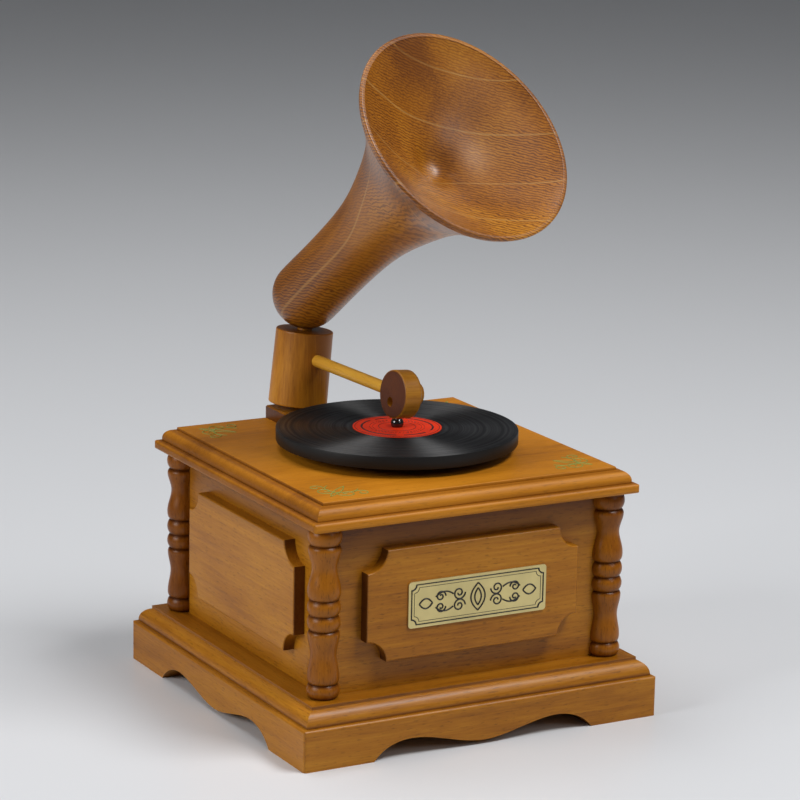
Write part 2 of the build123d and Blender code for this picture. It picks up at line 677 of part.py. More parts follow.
with BuildPart() as drive_tyre:
    with BuildSketch(arbor_plane(TYRE_X - TYRE_WIDTH / 2)):
        Circle(TYRE_RADIUS)
        Circle(WHEEL_RADIUS + CLOSE_GAP, mode=Mode.SUBTRACT)
    extrude(amount=TYRE_WIDTH)
    fillet(drive_tyre.edges().filter_by(GeomType.CIRCLE).group_by(SortBy.RADIUS)[-1], radius=TYRE_ROUND)
save(drive_tyre, "drive_tyre")

# ================================================================ gears
PRESSURE_ANGLE = math.radians(20)
STUB_ADDENDUM = 0.7
DEDENDUM = 1.15
TOOTH_THINNING = 0.06
FLANK_STEPS = 4
ROOT_OVERLAP = 0.2
LIGHTENING_HOLES = 5
LIGHTENING_CIRCLE = 4.2
LIGHTENING_RADIUS = 1.4


def involute(angle):
    """The involute function."""
    return math.tan(angle) - angle


def tooth_outline(teeth):
    """The corners of one stub involute tooth that points along local X."""
    pitch_radius = GEAR_MODULE * teeth / 2
    base_radius = pitch_radius * math.cos(PRESSURE_ANGLE)
    tip_radius = pitch_radius + STUB_ADDENDUM * GEAR_MODULE
    root_radius = pitch_radius - DEDENDUM * GEAR_MODULE
    half_pitch_angle = math.pi / (2 * teeth) - TOOTH_THINNING / (2 * pitch_radius)
    start_radius = max(base_radius, root_radius)
    flank = [(root_radius - ROOT_OVERLAP, half_pitch_angle + involute(PRESSURE_ANGLE))]
    for step in range(FLANK_STEPS + 1):
        radius = start_radius + (tip_radius - start_radius) * step / FLANK_STEPS
        local_angle = math.acos(base_radius / radius)
        flank.append((radius, half_pitch_angle + involute(PRESSURE_ANGLE) - involute(local_angle)))
    rising = [(r * math.cos(a), -r * math.sin(a)) for r, a in flank]
    falling = [(x, -y) for x, y in reversed(rising)]
    return rising + falling


def gear_sketch(teeth, first_tooth):
    """Add a spur gear outline to the sketch, with a tooth at the given angle in degrees."""
    Circle(GEAR_MODULE * teeth / 2 - DEDENDUM * GEAR_MODULE)
    with PolarLocations(0, teeth, start_angle=first_tooth):
        Polygon(*tooth_outline(teeth), align=None)


MESH_ANGLE = math.degrees(math.atan2(CRANK_Z - ARBOR_Z, -ARBOR_Y))

with BuildPart() as cylinder_gear:
    with BuildSketch(arbor_plane(GEAR_X)):
        gear_sketch(GEAR_TEETH, MESH_ANGLE + 180 / GEAR_TEETH)
        Circle(ARBOR_RADIUS + CLOSE_GAP, mode=Mode.SUBTRACT)
        with PolarLocations(LIGHTENING_CIRCLE, LIGHTENING_HOLES):
            Circle(LIGHTENING_RADIUS, mode=Mode.SUBTRACT)
    extrude(amount=GEAR_WIDTH)
    with BuildSketch(arbor_plane(RIGHT_BRACKET_X + BRACKET_THICK + END_GAP)):
        Circle(GEAR_HUB_RADIUS)
        Circle(ARBOR_RADIUS + CLOSE_GAP, mode=Mode.SUBTRACT)
    extrude(amount=GEAR_X - RIGHT_BRACKET_X - BRACKET_THICK - END_GAP)
save(cylinder_gear, "cylinder_gear")

# ================================================================ comb
COMB_WIDTH = TRACKS * TRACK_PITCH

with BuildPart() as comb:
    with BuildSketch(Plane.XY.offset(COMB_BASE_TOP)):
        with Locations((BARREL_MIDDLE, (COMB_TIP + COMB_BACK) / 2)):
            Rectangle(COMB_WIDTH, COMB_BACK - COMB_TIP)
        for slot in range(1, TRACKS):
            slot_x = BARREL_MIDDLE - COMB_WIDTH / 2 + TRACK_PITCH * slot
            slot_length = COMB_ROOT_LONG - (COMB_ROOT_LONG - COMB_ROOT_SHORT) * slot / TRACKS - COMB_ROOT
            with Locations((slot_x, COMB_TIP + slot_length / 2)):
                Rectangle(COMB_SLOT, slot_length, mode=Mode.SUBTRACT)
        with Locations(*COMB_SCREW_SPOTS):
            Circle(COMB_SCREW_RADIUS + CLOSE_GAP, mode=Mode.SUBTRACT)
    extrude(amount=COMB_THICK)
save(comb, "comb")

with BuildPart() as comb_base:
    with BuildSketch(Plane.XY.offset(BED_TOP)):
        with Locations((BARREL_MIDDLE, (COMB_BASE_FRONT + COMB_BACK) / 2)):
            Rectangle(COMB_WIDTH, COMB_BACK - COMB_BASE_FRONT)
        with Locations(*COMB_SCREW_SPOTS):
            Circle(COMB_SCREW_RADIUS + CLOSE_GAP, mode=Mode.SUBTRACT)
    extrude(amount=COMB_BASE_TOP - BED_TOP)
save(comb_base, "comb_base")

# ================================================================ crank
ARM_FAR = ARM_X + ARM_THICK
ARM_HUB_RADIUS = 4.0
ARM_END_RADIUS = 3.2
NUT_RADIUS = 2.75
NUT_THICK = 2.6
NUT_BORE = 1.9
BUSH_FLANGE = 1.2
BUSH_FLANGE_RADIUS = 5.5
BUSH_INSIDE = WALL_INNER - 1.0
SHAFT_LEFT = RIGHT_BRACKET_X - 0.5
SHAFT_RIGHT = ARM_FAR + 1.8
PINION_X = GEAR_X - 0.5
PINION_WIDTH = GEAR_WIDTH + 1.0


def shaft_plane(x):
    """A plane square to the crank shaft at the given X."""
    return Plane(origin=(x, 0, CRANK_Z), x_dir=(0, 1, 0), z_dir=(1, 0, 0))


KNOB_SPOT = (0, -CRANK_THROW)
KNOB_AXIS_Z = CRANK_Z - CRANK_THROW

with BuildPart() as crank_shaft:
    with BuildSketch(shaft_plane(SHAFT_LEFT)):
        Circle(SHAFT_RADIUS)
    extrude(amount=SHAFT_RIGHT - SHAFT_LEFT)
save(crank_shaft, "crank_shaft")

with BuildPart() as crank_pinion:
    with BuildSketch(shaft_plane(PINION_X)):
        gear_sketch(PINION_TEETH, MESH_ANGLE + 180)
        Circle(SHAFT_RADIUS + CLOSE_GAP, mode=Mode.SUBTRACT)
    extrude(amount=PINION_WIDTH)
    with BuildSketch(shaft_plane(RIGHT_BRACKET_X + BRACKET_THICK + END_GAP)):
        Circle(GEAR_HUB_RADIUS)
        Circle(SHAFT_RADIUS + CLOSE_GAP, mode=Mode.SUBTRACT)
    extrude(amount=PINION_X - RIGHT_BRACKET_X - BRACKET_THICK - END_GAP)
save(crank_pinion, "crank_pinion")

with BuildPart() as crank_bush:
    with BuildSketch(shaft_plane(BUSH_INSIDE)):
        Circle(BUSH_RADIUS)
    extrude(amount=PLAQUE_FACE - BUSH_INSIDE)
    with BuildSketch(shaft_plane(PLAQUE_FACE)):
        Circle(BUSH_FLANGE_RADIUS)
    extrude(amount=BUSH_FLANGE)
    with BuildSketch(shaft_plane(BUSH_INSIDE)):
        Circle(SHAFT_RADIUS + RUNNING_GAP)
    extrude(amount=PLAQUE_FACE + BUSH_FLANGE - BUSH_INSIDE, mode=Mode.SUBTRACT)
save(crank_bush, "crank_bush")

with BuildPart() as crank_arm:
    with BuildSketch(shaft_plane(ARM_X)):
        Circle(ARM_HUB_RADIUS)
        with Locations(KNOB_SPOT):
            Circle(ARM_END_RADIUS)
        make_hull()
        Circle(SHAFT_RADIUS + CLOSE_GAP, mode=Mode.SUBTRACT)
        with Locations(KNOB_SPOT):
            Circle(SHAFT_RADIUS + CLOSE_GAP, mode=Mode.SUBTRACT)
    extrude(amount=ARM_THICK)
save(crank_arm, "crank_arm")

with BuildPart() as crank_nut:
    with BuildSketch(shaft_plane(ARM_FAR)):
        RegularPolygon(NUT_RADIUS, 6, major_radius=False)
    extrude(amount=NUT_THICK)
    with BuildSketch(shaft_plane(ARM_FAR)):
        Circle(SHAFT_RADIUS + CLOSE_GAP)
    extrude(amount=NUT_BORE, mode=Mode.SUBTRACT)
save(crank_nut, "crank_nut")


PIN_HEAD_RADIUS = 2.4
PIN_HEAD_THICK = 1.2
PIN_HEAD_ROUND = 0.6


def knob_plane(x):
    """A plane square to the crank knob's axis at the given X."""
    return Plane(origin=(x, 0, KNOB_AXIS_Z), x_dir=(0, 1, 0), z_dir=(1, 0, 0))


with BuildPart() as knob_pin:
    with BuildSketch(knob_plane(ARM_X)):
        Circle(SHAFT_RADIUS)
    extrude(amount=KNOB_FAR + END_GAP - ARM_X)
    with BuildSketch(knob_plane(KNOB_FAR + END_GAP)):
        Circle(PIN_HEAD_RADIUS)
    extrude(amount=PIN_HEAD_THICK)
    fillet(knob_pin.edges().filter_by(GeomType.CIRCLE).sort_by(Axis.X)[-1], radius=PIN_HEAD_ROUND)
save(knob_pin, "knob_pin")

KNOB_BORE = SHAFT_RADIUS + TURNING_GAP
KNOB_NEAR_RADIUS = 3.0
KNOB_FAR_RADIUS = 3.4
KNOB_SWELL = [(3.1, KNOB_NEAR + 4), (5.0, KNOB_NEAR + 12)]

with BuildPart() as crank_knob:
    with BuildSketch(Plane(origin=(0, 0, KNOB_AXIS_Z), x_dir=(0, 0, 1), z_dir=(0, 1, 0))):
        with BuildLine():
            Line((KNOB_BORE, KNOB_NEAR), (KNOB_NEAR_RADIUS, KNOB_NEAR))
            Spline((KNOB_NEAR_RADIUS, KNOB_NEAR), *KNOB_SWELL, (KNOB_FAR_RADIUS, KNOB_FAR),
                   tangents=((0, 1), (-1, 0.35)))
            Polyline((KNOB_FAR_RADIUS, KNOB_FAR), (KNOB_BORE, KNOB_FAR), (KNOB_BORE, KNOB_NEAR))
        make_face()
    revolve(axis=Axis(origin=(0, 0, KNOB_AXIS_Z), direction=(1, 0, 0)))
save(crank_knob, "crank_knob")

# ================================================================ post foot, pivot and arm post
PIVOT_DOWN = 4.4
PIVOT_UP = 8.0
FOOT_CHAMFER = 0.4
POST_ROUND = 0.5


def post_plane(up):
    """A plane square to the leaning post, at a height along the post above its base."""
    return Plane(origin=POST_BASE + POST_AXIS * up, x_dir=(1, 0, -POST_AXIS.X / POST_AXIS.Z), z_dir=POST_AXIS)


with BuildPart() as post_foot:
    with BuildSketch(Plane.XY.offset(BOARD_TOP)):
        with Locations(((FOOT_LEFT + FOOT_RIGHT) / 2, (FOOT_FRONT + FOOT_BACK) / 2)):
            Rectangle(FOOT_RIGHT - FOOT_LEFT, FOOT_BACK - FOOT_FRONT)
    extrude(amount=FOOT_TOP - BOARD_TOP)
    chamfer(post_foot.edges().group_by(Axis.Z)[-1], length=FOOT_CHAMFER)
    with BuildSketch(post_plane(-PIVOT_DOWN - END_GAP)):
        Circle(PIVOT_RADIUS + CLOSE_GAP)
    extrude(amount=PIVOT_DOWN + CUT_MARGIN, mode=Mode.SUBTRACT)
save(post_foot, "post_foot")

with BuildPart() as post_pin:
    with BuildSketch(post_plane(-PIVOT_DOWN)):
        Circle(PIVOT_RADIUS)
    extrude(amount=PIVOT_DOWN + PIVOT_UP)
save(post_pin, "post_pin")

ARM_HEADING = Vector(0.0697, -0.9976, 0)
ARM_LEVEL = (ARM_HEADING - POST_AXIS * ARM_HEADING.dot(POST_AXIS)).normalized()
ARM_DIRECTION = (ARM_LEVEL - POST_AXIS * TONEARM_DROOP).normalized()
SOUND_AXIS = POST_AXIS.cross(ARM_DIRECTION).normalized()
ARM_ROOT = POST_BASE + POST_AXIS * TONEARM_UP
PEG_DEPTH = 5.0

with BuildPart() as arm_post:
    with BuildSketch(post_plane(0)):
        Circle(POST_RADIUS)
    extrude(amount=POST_LENGTH, taper=POST_TAPER)
    fillet(arm_post.edges().filter_by(GeomType.CIRCLE), radius=POST_ROUND)
    with BuildSketch(post_plane(0)):
        Circle(PIVOT_RADIUS + TURNING_GAP)
    extrude(amount=PIVOT_UP + END_GAP, mode=Mode.SUBTRACT)
    with BuildSketch(post_plane(POST_LENGTH)):
        Circle(PEG_RADIUS + TURNING_GAP)
    extrude(amount=-PEG_DEPTH - END_GAP, mode=Mode.SUBTRACT)
    with BuildSketch(Plane(origin=ARM_ROOT, z_dir=ARM_DIRECTION)):
        Circle(TONEARM_RADIUS + CLOSE_GAP)
    extrude(amount=POST_RADIUS + CUT_MARGIN, mode=Mode.SUBTRACT)
save(arm_post, "arm_post")

TONEARM_END = TONEARM_REACH - SOUND_RADIUS + TONEARM_SOCKET

with BuildPart() as tonearm:
    with BuildSketch(Plane(origin=ARM_ROOT, z_dir=ARM_DIRECTION)):
        Circle(TONEARM_RADIUS)
    extrude(amount=TONEARM_END)
save(tonearm, "tonearm")

SOUND_CENTRE = ARM_ROOT + ARM_DIRECTION * TONEARM_REACH
NEEDLE_HOLE_SPOT = SOUND_CENTRE - POST_AXIS * NEEDLE_HOLE_DOWN - ARM_DIRECTION * NEEDLE_HOLE_BACK

with BuildPart() as sound_box:
    with BuildSketch(plane_along(SOUND_CENTRE, SOUND_AXIS)):
        with BuildLine():
            Polyline((0, SOUND_BACK), (0, SOUND_FACE), (SOUND_RADIUS, SOUND_FACE), (SOUND_RADIUS, SOUND_STEP),
                     (SOUND_BOSS, SOUND_STEP), (SOUND_BOSS, SOUND_BACK), (0, SOUND_BACK))
        make_face()
    revolve(axis=Axis(origin=SOUND_CENTRE, direction=SOUND_AXIS))
    across = Axis(origin=SOUND_CENTRE, direction=SOUND_AXIS)
    outer_rims = sound_box.edges().filter_by(GeomType.CIRCLE).sort_by(across)
    fillet(outer_rims[0], radius=SOUND_FACE_ROUND)
    fillet(outer_rims[-1], radius=SOUND_BOSS_ROUND)
    widest_rims = sound_box.edges().filter_by(GeomType.CIRCLE).group_by(SortBy.RADIUS)[-1]
    fillet(widest_rims.sort_by(across)[-1], radius=SOUND_RIM_ROUND)
    socket_mouth = SOUND_CENTRE - ARM_DIRECTION * (SOUND_RADIUS + CUT_MARGIN)
    with BuildSketch(Plane(origin=socket_mouth, z_dir=ARM_DIRECTION)):
        Circle(TONEARM_RADIUS + CLOSE_GAP)
    extrude(amount=TONEARM_SOCKET + CUT_MARGIN + END_GAP, mode=Mode.SUBTRACT)
    with BuildSketch(Plane(origin=NEEDLE_HOLE_SPOT + SOUND_AXIS * SOUND_FACE, z_dir=SOUND_AXIS)):
        Circle(NEEDLE_HOLE_RADIUS)
    extrude(amount=NEEDLE_HOLE_DEPTH, mode=Mode.SUBTRACT)
save(sound_box, "sound_box")

# ================================================================ horn
HORN_HEART = POST_BASE + POST_AXIS * (POST_LENGTH + HORN_UP)
HORN_AXIS = Vector(
    math.sin(math.radians(HORN_TURN)) * math.cos(math.radians(HORN_RISE)),
    -math.cos(math.radians(HORN_TURN)) * math.cos(math.radians(HORN_RISE)),
    math.sin(math.radians(HORN_RISE)),
)
PEG_TOP = 7.0
LIP_EDGE = 0.7
BOWL_EDGE = 0.3
ROUND_MIDDLE = 1 - math.sqrt(0.5)
BOWL_LINE = [(radius, HORN_MOUTH + depth) for radius, depth in HORN_BOWL + HORN_CUP]

with BuildPart() as horn:
    with BuildSketch(plane_along(HORN_HEART, HORN_AXIS)):
        with BuildLine():
            ThreePointArc((0, HORN_TAIL), *HORN_HEEL)
            Spline(HORN_HEEL[-1], *HORN_TUBE, HORN_RIM_BACK, tangents=((0.02, 1), (0.72, 0.75)))
            Line(HORN_RIM_BACK, (HORN_LIP, HORN_MOUTH - LIP_EDGE))
            ThreePointArc((HORN_LIP, HORN_MOUTH - LIP_EDGE),
                          (HORN_LIP - LIP_EDGE * ROUND_MIDDLE, HORN_MOUTH - LIP_EDGE * ROUND_MIDDLE),
                          (HORN_LIP - LIP_EDGE, HORN_MOUTH))
            Line((HORN_LIP - LIP_EDGE, HORN_MOUTH), (HORN_LIP_INNER + BOWL_EDGE, HORN_MOUTH))
            ThreePointArc((HORN_LIP_INNER + BOWL_EDGE, HORN_MOUTH),
                          (HORN_LIP_INNER + BOWL_EDGE * ROUND_MIDDLE, HORN_MOUTH - BOWL_EDGE * ROUND_MIDDLE),
                          (HORN_LIP_INNER, HORN_MOUTH - BOWL_EDGE))
            Spline((HORN_LIP_INNER, HORN_MOUTH - BOWL_EDGE), *BOWL_LINE, tangents=((-1.2, -1), (-1, 0)))
            Line(BOWL_LINE[-1], (0, HORN_TAIL))
        make_face()
    revolve(axis=Axis(origin=HORN_HEART, direction=HORN_AXIS))
    with BuildSketch(post_plane(POST_LENGTH)):
        Circle(PEG_RADIUS + CLOSE_GAP)
    extrude(amount=PEG_TOP, mode=Mode.SUBTRACT)
save(horn, "horn")

with BuildPart() as horn_peg:
    with BuildSketch(post_plane(POST_LENGTH - PEG_DEPTH)):
        Circle(PEG_RADIUS)
    extrude(amount=PEG_DEPTH + PEG_TOP - END_GAP)
save(horn_peg, "horn_peg")
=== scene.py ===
import json
import math

import bpy
from mathutils import Matrix, Vector


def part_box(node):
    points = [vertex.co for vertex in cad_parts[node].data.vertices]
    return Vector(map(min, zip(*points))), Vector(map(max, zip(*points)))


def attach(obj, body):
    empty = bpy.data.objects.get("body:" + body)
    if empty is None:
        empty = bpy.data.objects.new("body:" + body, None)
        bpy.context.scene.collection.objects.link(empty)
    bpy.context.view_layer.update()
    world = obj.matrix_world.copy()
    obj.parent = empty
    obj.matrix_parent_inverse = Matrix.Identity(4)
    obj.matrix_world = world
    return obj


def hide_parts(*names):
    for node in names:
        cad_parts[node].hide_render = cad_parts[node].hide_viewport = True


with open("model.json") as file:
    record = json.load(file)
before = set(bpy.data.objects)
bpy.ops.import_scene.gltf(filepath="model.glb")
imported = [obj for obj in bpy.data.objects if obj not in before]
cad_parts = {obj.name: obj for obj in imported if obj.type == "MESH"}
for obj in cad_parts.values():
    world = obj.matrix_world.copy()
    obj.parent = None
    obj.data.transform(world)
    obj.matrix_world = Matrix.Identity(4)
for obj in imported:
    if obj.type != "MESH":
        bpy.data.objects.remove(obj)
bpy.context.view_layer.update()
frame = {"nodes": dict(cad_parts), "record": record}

# Everything is in metres in the CAD row frame: origin at the centre of the base
# on the table, front along -Y, crank along +X, up along +Z.
MM = 0.001
X_AXIS = Vector((1, 0, 0))
Y_AXIS = Vector((0, 1, 0))
Z_AXIS = Vector((0, 0, 1))
WHITE = (1, 1, 1)
BLACK = (0, 0, 0)

joints = {joint["name"]: joint for joint in frame["record"]["behaviour"]["joints"]}
post_axis = Vector(joints["arm_swivel"]["axis"]).normalized()


# ---------------------------------------------------------------- shader helpers
# Painted shade: darker level lines in the creases of the mouldings and a painted shadow under the lid's overhang,
# with stain in the column grooves.
SHADE_LINE_SPAN = 100 * MM
STAIN_AND_SHADE_TONE = (0.30, 0.20, 0.14)


class Shader:
    """A material with a Principled shader and short calls for adding nodes."""

    def __init__(self, name):
        self.material = bpy.data.materials.new(name)
        self.material.use_nodes = True
        self.tree = self.material.node_tree
        self.surface = self.tree.nodes["Principled BSDF"]
        self.coordinates = self.tree.nodes.new("ShaderNodeTexCoord")

    def add(self, kind, **settings):
        """Add a node and set its properties."""
        node = self.tree.nodes.new(kind)
        for key, value in settings.items():
            setattr(node, key, value)
        return node

    def join(self, source, target):
        """Link a socket to a node's input, or to a named input of the surface."""
        if isinstance(target, str):
            target = self.surface.inputs[target]
        self.tree.links.new(source, target)

    def set(self, **values):
        """Set constants on the surface's own sockets."""
        for name, value in values.items():
            self.surface.inputs[name.replace("_", " ")].default_value = value

    def fill(self, node, **values):
        """Set a node's inputs by name, and return the node."""
        for name, value in values.items():
            node.inputs[name.replace("_", " ")].default_value = value
        return node

    def mapped(self, scale=(1, 1, 1), rotation=(0, 0, 0), offset=(0, 0, 0)):
        """Object coordinates turned and shifted, then scaled."""
        turn = self.fill(self.add("ShaderNodeMapping", vector_type="POINT"), Rotation=rotation, Location=offset)
        stretch = self.fill(self.add("ShaderNodeMapping", vector_type="POINT"), Scale=scale)
        self.join(self.coordinates.outputs["Object"], turn.inputs["Vector"])
        self.join(turn.outputs["Vector"], stretch.inputs["Vector"])
        return stretch.outputs["Vector"]

    def distance(self, centre):
        """Distance from an upright line through centre, as the X of a vector."""
        shift = self.add("ShaderNodeMapping", vector_type="POINT")
        self.fill(shift, Location=(-centre.x, -centre.y, 0), Scale=(1, 1, 0))
        self.join(self.coordinates.outputs["Object"], shift.inputs["Vector"])
        length = self.add("ShaderNodeVectorMath", operation="LENGTH")
        self.join(shift.outputs["Vector"], length.inputs[0])
        pack = self.add("ShaderNodeCombineXYZ")
        self.join(length.outputs["Value"], pack.inputs["X"])
        return pack.outputs["Vector"]

    def noise(self, vector, scale, detail=2.0, roughness=0.5, distortion=0.0):
        """Noise from 0 to 1."""
        node = self.add("ShaderNodeTexNoise")
        self.fill(node, Scale=scale, Detail=detail, Roughness=roughness, Distortion=distortion)
        self.join(vector, node.inputs["Vector"])
        return node.outputs["Fac"]

    def wave(self, vector, **values):
        """Wavy level bands from 0 to 1."""
        node = self.add("ShaderNodeTexWave", wave_type="BANDS", bands_direction="Z", wave_profile="SIN")
        self.fill(node, **values)
        self.join(vector, node.inputs["Vector"])
        return node.outputs["Fac"]

    def ramp(self, factor, stops):
        """A colour ramp with (position, colour) stops."""
        node = self.add("ShaderNodeValToRGB")
        while len(node.color_ramp.elements) < len(stops):
            node.color_ramp.elements.new(0.5)
        for element, (position, colour) in zip(node.color_ramp.elements, stops):
            element.position = position
            element.color = (*colour, 1.0)
        self.join(factor, node.inputs["Fac"])
        return node.outputs["Color"]

    def math(self, operation, first, second=0.0):
        """A Math node on numbers or sockets."""
        node = self.add("ShaderNodeMath", operation=operation)
        for socket, value in zip(node.inputs, (first, second)):
            if isinstance(value, (int, float)):
                socket.default_value = value
            else:
                self.join(value, socket)
        return node.outputs["Value"]

    def weighted(self, *terms):
        """The sum of (socket, weight) terms."""
        total = None
        for socket, weight in terms:
            part = self.math("MULTIPLY", socket, weight)
            total = part if total is None else self.math("ADD", total, part)
        return total

    def mix(self, blend, factor, first, second):
        """Blend two colours, each a tuple or a socket."""
        node = self.add("ShaderNodeMix", data_type="RGBA", blend_type=blend)
        for name, value in (("Factor", factor), ("A", first), ("B", second)):
            if isinstance(value, (int, float)):
                node.inputs[name].default_value = value
            elif isinstance(value, tuple):
                node.inputs[name].default_value = (*value, 1.0)
            else:
                self.join(value, node.inputs[name])
        return node.outputs["Result"]

    def spread(self, factor, low, high):
        """Map 0..1 to low..high."""
        node = self.fill(self.add("ShaderNodeMapRange"), To_Min=low, To_Max=high)
        self.join(factor, node.inputs["Value"])
        return node.outputs["Result"]

    def roughness(self, factor, middle, reach):
        """Vary the surface's roughness by reach each way."""
        self.join(self.spread(factor, middle - reach, middle + reach), "Roughness")

    def stain_and_shade(self, lines):
        """Darken a level line at each height, fading out over its spread, both in millimetres: painted shade in
        creases and under overhangs, with stain in grooves.
        """
        parts = self.add("ShaderNodeSeparateXYZ")
        self.join(self.coordinates.outputs["Object"], parts.inputs["Vector"])
        share = self.math("MULTIPLY", parts.outputs["Z"], 1 / SHADE_LINE_SPAN)
        stops = [(0.0, WHITE)]
        for height, below, above in lines:
            for offset, tone in ((-below, WHITE), (0, STAIN_AND_SHADE_TONE), (above, WHITE)):
                stops.append(((height + offset) * MM / SHADE_LINE_SPAN, tone))
        return self.ramp(share, stops)

    def bump(self, height, distance, strength):
        """Raise the surface by a height from 0 to 1, times distance in metres."""
        node = self.fill(self.add("ShaderNodeBump"), Distance=distance, Strength=strength)
        self.join(height, node.inputs["Height"])
        self.join(node.outputs["Normal"], "Normal")


# ---------------------------------------------------------------- wood
# How far each pattern is drawn out along the grain, and its scale across it.
FINE_STRETCH, FINE_SCALE = (0.06, 1, 1), 1500.0
BAND_STRETCH, BAND_SCALE = (0.035, 1, 1), 330.0
CLOUD_STRETCH, CLOUD_SCALE = (0.35, 1, 1), 34.0
PORE_STRETCH, PORE_SCALE = (0.16, 1, 1), 2300.0
FINE_SHARE = 0.36
BAND_SHARE = 0.34
CLOUD_SHARE = 0.5
TONE_STOPS = (0.34, 0.5, 0.68)
PORE_STARTS, PORE_FULL = 0.60, 0.72
END_GRAIN_TONE = (0.19, 0.095, 0.06)
END_GRAIN_POWER = 3.0
WOOD_DEPTH = 0.04 * MM
WOOD_BUMP = 0.35
WOOD_GLOSS_REACH = 0.07


def wood(name, tones, grain, offset=(0, 0, 0), roughness=0.38, specular=0.3, end_dark=0.85, pores=0.33,
         contrast=1.0, mottle=CLOUD_SHARE, stain_and_shade_lines=()):
    """Lacquered wood whose fine grain runs along the given direction, darker where the grain ends.

    The tones are dark, middle and light. Painted shade darkens the creases of the mouldings, a painted shadow the
    walls under the lid, and stain with painted shade the column grooves: each line has a height and how far it fades
    below and above, in millimetres.
    """
    shader = Shader(name)
    turn = grain.rotation_difference(X_AXIS).to_euler()
    fine = shader.noise(shader.mapped(FINE_STRETCH, turn, offset), FINE_SCALE, 3.0, 0.6, 0.1)
    band = shader.noise(shader.mapped(BAND_STRETCH, turn, offset), BAND_SCALE, 3.0, 0.55, 0.2)
    cloud = shader.noise(shader.mapped(CLOUD_STRETCH, turn, offset), CLOUD_SCALE, 3.0, 0.5, 0.4)
    blend = shader.weighted((fine, FINE_SHARE * contrast), (band, BAND_SHARE * contrast), (cloud, mottle))
    balance = 0.35 * (1 - contrast) - 0.1 + 0.5 * (CLOUD_SHARE - mottle)
    colour = shader.ramp(shader.math("ADD", blend, balance), list(zip(TONE_STOPS, tones)))

    pore_noise = shader.noise(shader.mapped(PORE_STRETCH, turn, offset), PORE_SCALE, 1.0, 0.5)
    pore_mask = shader.ramp(pore_noise, [(PORE_STARTS, WHITE), (PORE_FULL, (1 - pores,) * 3)])
    colour = shader.mix("MULTIPLY", 1.0, colour, pore_mask)

    along = shader.add("ShaderNodeVectorMath", operation="DOT_PRODUCT")
    along.inputs[1].default_value = grain
    shader.join(shader.coordinates.outputs["Normal"], along.inputs[0])
    end_grain = shader.math("POWER", shader.math("ABSOLUTE", along.outputs["Value"]), END_GRAIN_POWER)
    colour = shader.mix("MULTIPLY", shader.math("MULTIPLY", end_grain, end_dark), colour, END_GRAIN_TONE)
    # Painted shade and a painted shadow: darker level lines at the creases and under the lid.
    if stain_and_shade_lines:
        colour = shader.mix("MULTIPLY", 1.0, colour, shader.stain_and_shade(stain_and_shade_lines))
    shader.join(colour, "Base Color")
    shader.roughness(band, roughness, WOOD_GLOSS_REACH)
    shader.bump(shader.math("ADD", fine, pore_noise), WOOD_DEPTH, WOOD_BUMP)
    shader.set(Specular_IOR_Level=specular)
    return shader.material


HORN_STOPS = (0.36, 0.5, 0.66)
RIPPLE_TURN = (0.15, -0.35, 0.0)
RIPPLE_TONE = (0.36, 0.28, 0.20)
RIPPLE_WAVE = {"Scale": 380.0, "Distortion": 6.0, "Detail": 1.5, "Detail_Scale": 1.2, "Detail_Roughness": 0.55}
RIPPLE_PATCH = [(0.32, (0.35,) * 3), (0.6, (0.95,) * 3)]
GROWTH_TURN = 0.95
GROWTH_TONE = (0.50, 0.28, 0.08)
GROWTH_WAVE = {"Scale": 19.0, "Distortion": 2.4, "Detail": 2.0, "Detail_Scale": 1.6}
GROWTH_LINE = [(0.996, BLACK), (0.9998, (0.8,) * 3)]


def horn_wood(name, tones, grain, offset):
    """Lacquered wood with the fine quilted ripple and a few pale growth lines that the turned horn shows."""
    shader = Shader(name)
    turning = grain.rotation_difference(X_AXIS).to_matrix()
    turn = turning.to_euler()
    growth_turn = (Matrix.Rotation(GROWTH_TURN, 3, "X") @ turning).to_euler()
    fine = shader.noise(shader.mapped((0.08, 1, 1), turn, offset), 1100.0, 3.0, 0.6, 0.2)
    cloud = shader.noise(shader.mapped((0.35, 1, 1), turn, offset), 40.0, 3.0, 0.5, 0.4)
    colour = shader.ramp(shader.weighted((fine, 0.3), (cloud, 0.7)), list(zip(HORN_STOPS, tones)))

    ripple = shader.wave(shader.mapped((0.8, 0.8, 1.0), RIPPLE_TURN, offset), **RIPPLE_WAVE)
    patch = shader.noise(shader.mapped(offset=offset), 30.0, 2.0, 0.5, 0.3)
    ripple_mask = shader.ramp(ripple, [(0.05, RIPPLE_TONE), (0.6, WHITE)])
    colour = shader.mix("MULTIPLY", shader.ramp(patch, RIPPLE_PATCH), colour, ripple_mask)

    rings = shader.wave(shader.mapped((0.25, 0.4, 1.0), growth_turn, offset), **GROWTH_WAVE)
    growth = shader.math("MULTIPLY", shader.ramp(rings, GROWTH_LINE), cloud)
    colour = shader.mix("MIX", growth, colour, GROWTH_TONE)
    shader.join(colour, "Base Color")
    shader.roughness(fine, 0.36, 0.06)
    shader.bump(shader.math("ADD", fine, ripple), 0.03 * MM, 0.3)
    shader.set(Coat_Weight=0.5, Coat_Roughness=0.45, Specular_IOR_Level=0.25)
    return shader.material


# ---------------------------------------------------------------- metal, paint and lacquer
SCRATCH_REACH = 0.06
METAL_DARKER = 0.78
PAINT_DARKER = 0.8
PAINT_REACH = 0.05
TONE_SPREAD = (0.3, 0.7)


def uneven(shader, scale, roughness, colour, darker):
    """Give the surface one colour that drifts slightly darker in soft clouds."""
    tone = shader.noise(shader.mapped(), scale, 3.0, roughness)
    dim = tuple(channel * darker for channel in colour)
    shader.join(shader.ramp(tone, list(zip(TONE_SPREAD, (dim, colour)))), "Base Color")


